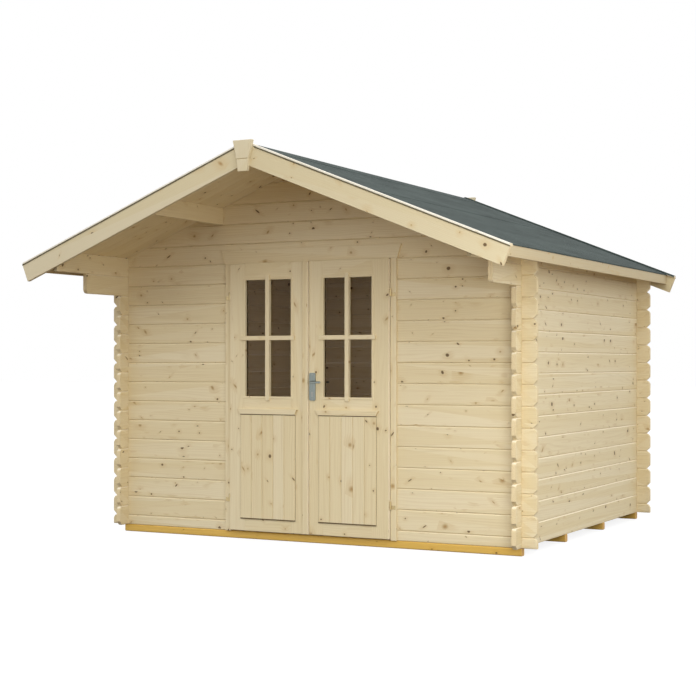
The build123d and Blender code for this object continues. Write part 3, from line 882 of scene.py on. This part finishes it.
@dataclass
class Roof:
    """Roof boards, felt, purlins and the boards along its edges."""

    timber_edge: float = 0.0015
    lath_edge: float = 0.001
    ridge_edge: float = 0.003
    board_width: float = 0.096
    board_gap: float = 0.0008
    board_chamfer: float = 0.0035
    board_thickness: float = 0.019
    lath_width: float = 0.045
    lath_gap: float = 0.0005
    felt_lip: float = 0.005
    felt_thickness: float = 0.003
    lap_sheet: float = 0.0022
    lap_reach: float = 0.86
    ridge_reach: float = 0.17

    def dress(self) -> None:
        """Finishes the solids of the roof."""
        for side in Side:
            dress(f"purlin_{side}", PURLIN, self.timber_edge)
            dress(f"eave_board_{side}", EAVE, self.timber_edge)
            dress(f"front_bargeboard_{side}", BARGE, self.timber_edge)
            dress(f"back_bargeboard_{side}", BARGE, self.timber_edge)
            dress(f"roof_felt_{side}", FELT)
        dress("verge_laths", LATH, self.lath_edge)
        dress("ridge_plates", RIDGE, self.ridge_edge)

    def boards(self, side: Side) -> None:
        """Lays the roof boards of one slope from ridge to eave, with a groove under each joint.

        Args:
            side: Slope that they lie on.
        """
        low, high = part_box(f"roof_boards_{side}")
        ridge, eave = (low.x, high.x) if side is Side.RIGHT else (high.x, low.x)
        top = high.z
        bottom = top - self.board_thickness / PITCH_COS
        count = round((high.y - low.y) / self.board_width)
        width = (high.y - low.y) / count
        c = self.board_chamfer
        mesh = bmesh.new()
        for i in range(count):
            y0 = low.y + i * width + self.board_gap / 2
            y1 = low.y + (i + 1) * width - self.board_gap / 2
            section = [(y0 + c, bottom), (y1 - c, bottom), (y1, bottom + c), (y1, top), (y0, top),
                       (y0, bottom + c)]
            prism(mesh, [(ridge, y, z) for y, z in section],
                  (eave - ridge, 0, -ROOF_SLOPE * abs(eave - ridge)))
        piece(f"roof_planks_{side}", mesh, ROOF_BOARD, "cabin",
              stands_for=(f"roof_boards_{side}",))

    def upper_sheets(self) -> None:
        """Lays the upper sheet of felt on each slope and the strip over the ridge."""
        lath_low, lath_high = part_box("verge_laths")
        inset = self.lath_width + self.lath_gap
        y0, y1 = lath_low.y + inset, lath_high.y - inset - self.lap_sheet
        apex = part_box("roof_felt_right")[1].z
        top = apex + self.lap_sheet
        sheets = {}
        for side in Side:
            reach = side.value * self.lap_reach * PITCH_COS
            fall = -ROOF_SLOPE * abs(reach)
            sheets[f"felt_upper_sheet_{side}"] = [
                (0, apex), (reach, apex + fall), (reach, apex + fall + self.lap_sheet), (0, top)]
        reach = self.ridge_reach * PITCH_COS
        fall = ROOF_SLOPE * reach
        crest = apex + 2 * self.lap_sheet
        sheets["felt_ridge_strip"] = [(-reach, top - fall), (0, top), (reach, top - fall),
                                      (reach, crest - fall), (0, crest), (-reach, crest - fall)]
        for name, section in sheets.items():
            mesh = bmesh.new()
            prism(mesh, [(x, y0, z) for x, z in section], (0, y1 - y0, 0))
            piece(name, mesh, FELT, "cabin")

    def verge_lips(self) -> None:
        """Turns the felt down over the bargeboard ends, past the eaves."""
        mesh = bmesh.new()
        felt_low, felt_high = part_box("roof_felt_right")
        start = felt_high.x
        drop = -self.felt_lip - self.felt_thickness / PITCH_COS
        for node, y, out in (("front", felt_low.y, 1), ("back", felt_high.y, -1)):
            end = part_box(f"{node}_bargeboard_right")[1].x
            section = [(start, 0.0), (end, 0.0), (end, drop), (start, drop)]
            for side in Side:
                outline = [(side.value * x, y, felt_high.z - ROOF_SLOPE * x + lift)
                           for x, lift in section]
                prism(mesh, outline, (0, out * self.felt_thickness, 0))
        piece("felt_verge_lips", mesh, FELT, "cabin")

    def back_upstands(self) -> None:
        """Laps a strip of felt over the back verge laths, up their side and over their top."""
        mesh = bmesh.new()
        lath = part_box("verge_laths")[1]
        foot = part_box("roof_felt_right")[1].z
        inner = lath.y - self.lath_width
        thin, rise = self.lap_sheet, lath.z - foot
        section = [(inner - thin, 0.0), (inner, 0.0), (inner, rise), (lath.y, rise),
                   (lath.y, rise + thin), (inner - thin, rise + thin)]
        for side in Side:
            loft(mesh, [[(side.value * x, y, foot - ROOF_SLOPE * x + lift) for y, lift in section]
                        for x in (0.0, lath.x)])
        piece("felt_back_upstands", mesh, FELT, "cabin")


@dataclass
class Doorway:
    """Posts, head, threshold and lintel board with the fixed hinge halves."""

    edge: float = 0.0015

    def dress(self) -> None:
        """Finishes the solids of the doorway."""
        for side in Side:
            dress(f"door_post_{side}", DOOR_POST, self.edge)
        for node in ("door_head", "door_threshold", "lintel_board"):
            dress(node, DOOR_LEVEL, self.edge)
        dress("post_hinges", YELLOW_ZINC)


@dataclass
class DoorLeaf:
    """One leaf: frame, pane, window bars and the planks of its lower panel."""

    side: Side
    edge: float = 0.0015
    bar_width: float = 0.030
    bar_thickness: float = 0.012
    bar_lap: float = 0.028
    bar_foot: float = 0.025
    bar_edge: float = 0.002
    bead_width: float = 0.013
    bead_proud: float = 0.0025
    bead_round: float = 0.0018
    bead_lining: float = 0.0025
    lip_height: float = 0.004
    lip_thickness: float = 0.006
    pane_tuck: float = 0.007
    panel_lap: float = 0.033
    plank_count: int = 5
    plank_chamfer: float = 0.004
    plank_gap: float = 0.0012
    # Gaps round the planks, where strips of painted shadow sit.
    plank_head_gap: float = 0.005
    plank_foot_gap: float = 0.007
    plank_side_gap: float = 0.0008
    strip_proud: float = 0.007
    strip_side_proud: float = 0.002

    @property
    def body(self) -> str:
        """Name of the leaf's body, which starts the names of its nodes."""
        return f"{self.side}_door"

    def dress(self) -> None:
        """Finishes the solids of the leaf."""
        dress(f"{self.body}_stiles", DOOR_STILE, self.edge)
        dress(f"{self.body}_rails", DOOR_LEVEL, self.edge)
        dress(f"{self.body}_glass", GLASS)
        dress(f"{self.body}_weather_bar", DOOR_LEVEL, self.edge)
        dress(f"{self.body}_hinges", YELLOW_ZINC)
        if self.side is Side.LEFT:
            dress("left_door_cover_strip", DOOR_STILE, self.edge)

    def _opening(self) -> tuple[float, float, float, float]:
        """Finds the window opening.

        Returns:
            Its left, right, bottom and top edge.
        """
        low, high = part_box(f"{self.body}_glass")
        tuck = self.pane_tuck
        return low.x + tuck, high.x - tuck, low.z + tuck, high.z - tuck

    def window_bars(self) -> None:
        """Builds a cross of bars on the pane, lapped over the frame, the level one in two parts."""
        x0, x1, z0, z1 = self._opening()
        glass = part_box(f"{self.body}_glass")[0].y
        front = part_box(f"{self.body}_stiles")[0].y
        face = front - self.bar_thickness
        x, z, half = (x0 + x1) / 2, (z0 + z1) / 2, self.bar_width / 2
        upright, level = bmesh.new(), bmesh.new()
        bottom, top = z0 - self.bar_foot, z1 + self.bar_lap
        profile = [(face, bottom), (face, top), (front, top), (front, z1), (glass, z1), (glass, z0),
                   (front, z0), (front, bottom)]
        prism(upright, [(x - half, py, pz) for py, pz in profile], (self.bar_width, 0, 0))
        for inner, edge, lap in ((x - half, x0, -self.bar_lap), (x + half, x1, self.bar_lap)):
            end = edge + lap
            profile = [(inner, face), (end, face), (end, front), (edge, front), (edge, glass),
                       (inner, glass)]
            prism(level, [(px, py, z - half) for px, py in profile], (0, 0, self.bar_width))
        piece(f"{self.body}_upright_bar", upright, DOOR_UPRIGHT, self.body,
              self.bar_edge)
        piece(f"{self.body}_level_bar", level, DOOR_LEVEL, self.body, self.bar_edge)

    def beads(self) -> None:
        """Frames the pane with mitred glazing beads on both sides, and a rubber seal behind it."""
        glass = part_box(f"{self.body}_glass")
        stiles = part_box(f"{self.body}_stiles")
        upright, level, seal = bmesh.new(), bmesh.new(), bmesh.new()
        front, back = glass[0].y, stiles[1].y
        width, eased, lining = self.bead_width, self.bead_round, self.bead_lining
        for foot, face, out in ((front, stiles[0].y, -1), (back, back, 1)):
            nose = face + out * self.bead_proud
            section = [(-lining, foot), (-lining, nose - out * eased), (eased - lining, nose),
                       (width - eased, nose), (width, face), (0.0, face)]
            if foot != face:
                section.append((0.0, foot))
            self._surround(section, upright, level)
        section = [(-lining, glass[1].y), (-lining, back), (0.0, back), (0.0, glass[1].y)]
        self._surround(section, seal, seal)
        piece(f"{self.body}_upright_beads", upright, DOOR_UPRIGHT, self.body)
        piece(f"{self.body}_level_beads", level, DOOR_LEVEL, self.body)
        piece(f"{self.body}_glazing_seal", seal, RUBBER_AND_SHADOW, self.body)

    def _surround(self, section: list[Pair], upright: Mesh, level: Mesh) -> None:
        """Runs a section round the window opening with mitred corners.

        Args:
            section: Corners of the section, each out from the opening's edge and back.
            upright: Mesh that takes the two upright runs.
            level: Mesh that takes the two level runs.
        """
        x0, x1, z0, z1 = self._opening()
        for x, out in ((x0, -1), (x1, 1)):
            loft(upright, [[(x + out * u, y, z + end * u) for u, y in section]
                           for z, end in ((z0, -1), (z1, 1))])
        for z, out in ((z0, -1), (z1, 1)):
            loft(level, [[(x + end * u, y, z + out * u) for u, y in section]
                         for x, end in ((x0, -1), (x1, 1))])

    def weather_strip(self) -> None:
        """Frames the planks with painted shadow: a dark rubber strip at head, foot and sides."""
        low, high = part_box(f"{self.body}_panel")
        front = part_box(f"{self.body}_stiles")[0].y
        face, thin = front - self.strip_proud, front - self.strip_side_proud
        head, foot = high.z - self.plank_head_gap, low.z + self.plank_foot_gap
        side = self.plank_side_gap
        # Painted shadow: dark strips under the weather bar, at the planks' feet and beside them.
        mesh = bmesh.new()
        for x0, x1, z0, z1, y in (
            (low.x, high.x, head, high.z, face),
            (low.x, high.x, low.z, foot, face),
            (low.x, low.x + side, foot, head, thin),
            (high.x - side, high.x, foot, head, thin),
        ):
            outline = [(x0, front, z0), (x0, y, z0), (x0, y, z1), (x0, front, z1)]
            prism(mesh, outline, (x1 - x0, 0, 0))
        piece(f"{self.body}_weather_strip", mesh, RUBBER_AND_SHADOW, self.body)

    def top_lip(self) -> None:
        """Raises a lip along the front of the leaf's top, over the gap under the lintel board."""
        low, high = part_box(f"{self.body}_stiles")
        back, top = low.y + self.lip_thickness, high.z + self.lip_height
        mesh = bmesh.new()
        section = [(low.y, high.z), (back, high.z), (back, top), (low.y, top)]
        prism(mesh, [(low.x, y, z) for y, z in section], (high.x - low.x, 0, 0))
        piece(f"{self.body}_top_lip", mesh, DOOR_LEVEL, self.body)

    def planks(self) -> None:
        """Builds the lower panel of upright planks, grooved at joints and lapped over the frame."""
        low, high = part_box(f"{self.body}_panel")
        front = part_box(f"{self.body}_stiles")[0].y
        mesh = bmesh.new()
        c, gap, side = self.plank_chamfer, self.plank_gap / 2, self.plank_side_gap
        foot, head = low.z + self.plank_foot_gap, high.z - self.plank_head_gap
        lap = self.panel_lap + gap
        width = (high.x - low.x - 2 * side) / self.plank_count
        for i in range(self.plank_count):
            x0, x1 = low.x + side + i * width + gap, low.x + side + (i + 1) * width - gap
            section = [(x0, front), (x0, low.y + c), (x0 + c, low.y), (x1 - c, low.y),
                       (x1, low.y + c), (x1, front)]
            prism(mesh, [(x, y, foot) for x, y in section], (0, 0, head - foot))
            x0, x1 = max(x0, low.x + lap), min(x1, high.x - lap)
            section = [(x0, front), (x1, front), (x1, high.y - c), (x1 - c, high.y),
                       (x0 + c, high.y), (x0, high.y - c)]
            prism(mesh, [(x, y, low.z + lap) for x, y in section], (0, 0, high.z - low.z - 2 * lap))
        piece(f"{self.body}_planks", mesh, DOOR_UPRIGHT, self.body,
              stands_for=(f"{self.body}_panel",))


@dataclass(frozen=True)
class ArmRing:
    """A ring of the lever's arm.

    It stands at a share of the way from the neck to the tip, some metres further and some back.
    Its height and depth are shares of the arm's own.
    """

    length_share: float
    further: float
    back: float
    height: float
    depth: float


@dataclass
class Lock:
    """Lever handle on the right leaf with its plates, key cylinders and screws."""

    plate_edge: float = 0.0015
    neck_radius: float = 0.008
    neck_sunk: float = 0.004
    # Bend of the neck: further along the arm and back from it.
    neck_bend: tuple[Pair, ...] = ((0.0, 0.014), (0.0015, 0.006))
    arm_half_depth: float = 0.006
    arm_rings: tuple[ArmRing, ...] = (
        ArmRing(0.0, 0.006, 0.0015, 0.98, 1.1),
        ArmRing(0.0, 0.014, 0.0, 1.0, 1.0),
        ArmRing(0.5, 0.0, 0.0, 0.86, 0.9),
        ArmRing(1.0, -0.010, 0.001, 0.92, 0.85),
        ArmRing(1.0, -0.004, 0.002, 0.75, 0.75),
        ArmRing(1.0, 0.0, 0.003, 0.3, 0.4),
    )
    lever_sides: int = 20
    collar_radius: float = 0.0115
    collar_height: float = 0.004
    collar_straight: float = 0.7
    collar_round: float = 0.001
    collar_sides: int = 24
    cylinder_drop: float = 0.072
    cylinder_radius: float = 0.0085
    cylinder_half_web: float = 0.005
    cylinder_reach: float = 0.0245
    cylinder_proud: float = 0.002
    cylinder_edge: float = 0.0004
    head_steps: int = 20
    foot_steps: int = 8
    # Radius and height of each ring of a screw's head.
    screw_head: tuple[Pair, ...] = ((0.0036, 0.0), (0.00324, 0.0008), (0.00162, 0.0014))
    screw_sides: int = 16
    screw_inset: float = 0.012

    def dress(self) -> None:
        """Finishes the plates."""
        dress("right_door_lock_plates", ALUMINIUM, self.plate_edge)

    def _axis(self) -> Pair:
        """Gives the place of the lever's axis across the leaf and its height."""
        low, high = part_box("door_handle")
        return low.x + self.neck_radius, (low.z + high.z) / 2

    def lever(self) -> None:
        """Builds a lever on each side: a round neck that bends into a flat, round-ended arm."""
        low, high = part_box("door_handle")
        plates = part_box("right_door_lock_plates")
        x, z = self._axis()
        tall, deep, neck = (high.z - low.z) / 2, self.arm_half_depth, self.neck_radius
        mesh = bmesh.new()
        for face, tip, out in ((plates[0].y, low.y, -1), (plates[1].y, high.y, 1)):
            arm = tip - out * deep
            stations = [(Vector((x, face - out * self.neck_sunk, z)), neck, neck)]
            for further, back in self.neck_bend:
                stations.append((Vector((x + further, arm - out * back, z)), neck, neck))
            for ring in self.arm_rings:
                along = x + ring.length_share * (high.x - x) + ring.further
                stations.append((Vector((along, arm - out * ring.back, z)), tall * ring.height,
                                 deep * ring.depth))
            centres = [centre for centre, _, _ in stations]
            ways = [after - before for before, after in zip(
                [centres[0], *centres], [*centres[1:], centres[-1]])]
            loft(mesh, [oval(centre, way.cross(UP).normalized() * half_deep, UP * half_tall,
                             self.lever_sides)
                        for way, (centre, half_tall, half_deep) in zip(ways, stations)])
            radius, height, eased = self.collar_radius, self.collar_height, self.collar_round
            collar = [(radius, -eased), (radius, height * self.collar_straight),
                      (radius - eased, height), (neck, height)]
            turned(mesh, Vector((x, face, z)), Vector((0, out, 0)), collar, self.collar_sides)
        piece("lever_handle", mesh, ALUMINIUM, "handle",
              stands_for=("door_handle",))

    def cylinders_and_screws(self) -> None:
        """Builds the profile cylinders under the lever and the screws at the ends of the plates."""
        low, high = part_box("right_door_lock_plates")
        x, z = self._axis()
        z -= self.cylinder_drop
        radius, web = self.cylinder_radius, self.cylinder_half_web
        turn = math.asin(web / radius)
        arcs = ((radius, z, turn - math.pi / 2, 2 * math.pi - 2 * turn, self.head_steps),
                (web, z - self.cylinder_reach + web, math.pi, math.pi, self.foot_steps))
        outline = []
        for arc_radius, height, start, sweep, steps in arcs:
            angles = [start + sweep * i / steps for i in range(steps + 1)]
            outline += [(x + arc_radius * math.cos(angle), height + arc_radius * math.sin(angle))
                        for angle in angles]
        keyway, screws = bmesh.new(), bmesh.new()
        for face, out in ((low.y, -1), (high.y, 1)):
            prism(keyway, [(px, face, pz) for px, pz in outline], (0, out * self.cylinder_proud, 0))
            for place in (low.z + self.screw_inset, high.z - self.screw_inset):
                turned(screws, Vector((x, face, place)), Vector((0, out, 0)), self.screw_head,
                       self.screw_sides)
        piece("lock_cylinders", keyway, ZINC, "right_door", self.cylinder_edge)
        piece("lock_plate_screws", screws, ZINC, "right_door")


@dataclass(frozen=True)
class Lamp:
    """A soft square lamp."""

    name: str
    place: Point
    aim: Point
    size: float
    power: float

    def hang(self) -> None:
        """Hangs the lamp, turned to its aim and out of the camera's sight."""
        data = bpy.data.lights.new(self.name, "AREA")
        data.energy = self.power
        data.size = self.size
        target = bpy.data.objects.new(self.name, data)
        way = Vector(self.aim) - Vector(self.place)
        target.location = self.place
        target.rotation_euler = way.to_track_quat("-Z", "Y").to_euler()
        target.visible_camera = False
        bpy.context.scene.collection.objects.link(target)


@dataclass
class Studio:
    """White sweep, soft lamps and the camera at the photograph's angle."""

    camera_place: Point = (4.7166, -9.4023, 1.1954)
    camera_turn: float = 0.4816
    lens: float = 75.37
    sensor: float = 36.0
    shift_up: float = 0.0215
    # The floor shows as white paper, a glow over a grey that takes the shadow; its bounce is warm.
    floor_half: float = 60.0
    floor_drop: float = 0.0005
    bounce: str = "#503B2A"
    white: str = "#FFFFFF"
    glow: float = 0.86
    shadow_grey: str = "#7C7C7C"
    # Strength of the sky overhead and at the horizon, and what it gains below, down to below_from.
    sky: str = "#F9FBFF"
    zenith: float = 1.16
    horizon: float = 1.36
    below: float = 0.30
    below_from: float = -0.2
    lamps: tuple[Lamp, ...] = (
        Lamp("front_lamp", (2.8, -7.6, 7.6), (0.2, -0.9, 1.0), 3.5, 130.0),
        Lamp("near_right_lamp", (3.3, -3.4, 1.1), (0.8, -0.9, 1.35), 1.6, 37.0),
        Lamp("right_lamp", (7.5, 1.5, 2.6), (1.6, 0.3, 1.0), 3.0, 18.0),
        Lamp("inside_lamp", (0.0, 0.4, 1.9), (0.0, 0.4, 0.0), 1.5, 3.0),
    )

    def _shown(self, tree: Tree) -> Node:
        """Marks the rays that show the backdrop: the camera's, off gloss and through glass.

        Args:
            tree: Node tree that takes the nodes.

        Returns:
            Node with the mark.
        """
        rays = add(tree, "LightPath").outputs
        seen = add(tree, "Math", rays["Is Camera Ray"], rays["Is Glossy Ray"], operation="MAXIMUM")
        return add(tree, "Math", seen, rays["Is Transmission Ray"], operation="MAXIMUM")

    def floor(self) -> None:
        """Lays a pale matt floor that looks white to the camera and keeps the shadow."""
        mesh = bmesh.new()
        bmesh.ops.create_grid(mesh, x_segments=1, y_segments=1, size=self.floor_half)
        data = bpy.data.meshes.new("studio_floor")
        mesh.to_mesh(data)
        mesh.free()
        target = bpy.data.objects.new("studio_floor", data)
        target.location.z = -self.floor_drop
        bpy.context.scene.collection.objects.link(target)
        material, tree = new_material("matt_paper_sweep")
        plain = add(tree, "BsdfDiffuse", srgb(self.bounce))
        paper = add(tree, "AddShader", add(tree, "Emission", srgb(self.white), self.glow),
                    add(tree, "BsdfDiffuse", srgb(self.shadow_grey)))
        add(tree, "OutputMaterial", add(tree, "MixShader", self._shown(tree), plain, paper))
        data.materials.append(material)

    def world(self) -> None:
        """Makes a soft sky, brighter at the horizon than overhead, that shows as plain white."""
        world = bpy.data.worlds.new("soft_studio")
        bpy.context.scene.world = world
        world.use_nodes = True
        tree = world.node_tree
        tree.nodes.clear()
        height = add(tree, "SeparateXYZ", add(tree, "TexCoord").outputs["Generated"]).outputs[2]
        upper = add(tree, "MapRange", height, 0.0, 1.0, self.horizon, self.zenith)
        lower = add(tree, "MapRange", height, self.below_from, 0.0, self.below, 0.0)
        level = add(tree, "Math", upper, lower, operation="ADD")
        shown = self._shown(tree)
        strength = add(tree, "Mix", named={0: shown, 2: level, 3: 1.0}, data_type="FLOAT")
        tint = add(tree, "Mix", named={0: shown, 6: srgb(self.sky), 7: srgb(self.white)},
                   data_type="RGBA").outputs[2]
        add(tree, "OutputWorld", add(tree, "Background", tint, strength))

    def light(self) -> None:
        """Hangs the lamps."""
        for lamp in self.lamps:
            lamp.hang()

    def camera(self) -> None:
        """Sets up the level camera of the photograph."""
        data = bpy.data.cameras.new("camera")
        data.sensor_width = self.sensor
        data.lens = self.lens
        data.shift_y = self.shift_up
        target = bpy.data.objects.new("camera", data)
        target.location = self.camera_place
        target.rotation_euler = (math.pi / 2, 0.0, self.camera_turn)
        bpy.context.scene.collection.objects.link(target)
        bpy.context.scene.camera = target


def main() -> None:
    logging.basicConfig(level=logging.INFO, format="%(message)s")
    bpy.context.scene.view_settings.view_transform = "Standard"
    walls = Walls()
    walls.dress()
    walls.floor()
    roof = Roof()
    roof.dress()
    for side in Side:
        roof.boards(side)
    roof.upper_sheets()
    roof.verge_lips()
    roof.back_upstands()
    Doorway().dress()
    for side in (Side.LEFT, Side.RIGHT):
        leaf = DoorLeaf(side)
        leaf.dress()
        leaf.window_bars()
        leaf.beads()
        leaf.planks()
        leaf.weather_strip()
        leaf.top_lip()
    lock = Lock()
    lock.dress()
    lock.lever()
    lock.cylinders_and_screws()
    studio = Studio()
    studio.floor()
    studio.world()
    studio.light()
    studio.camera()


if __name__ == "__main__":
    main()
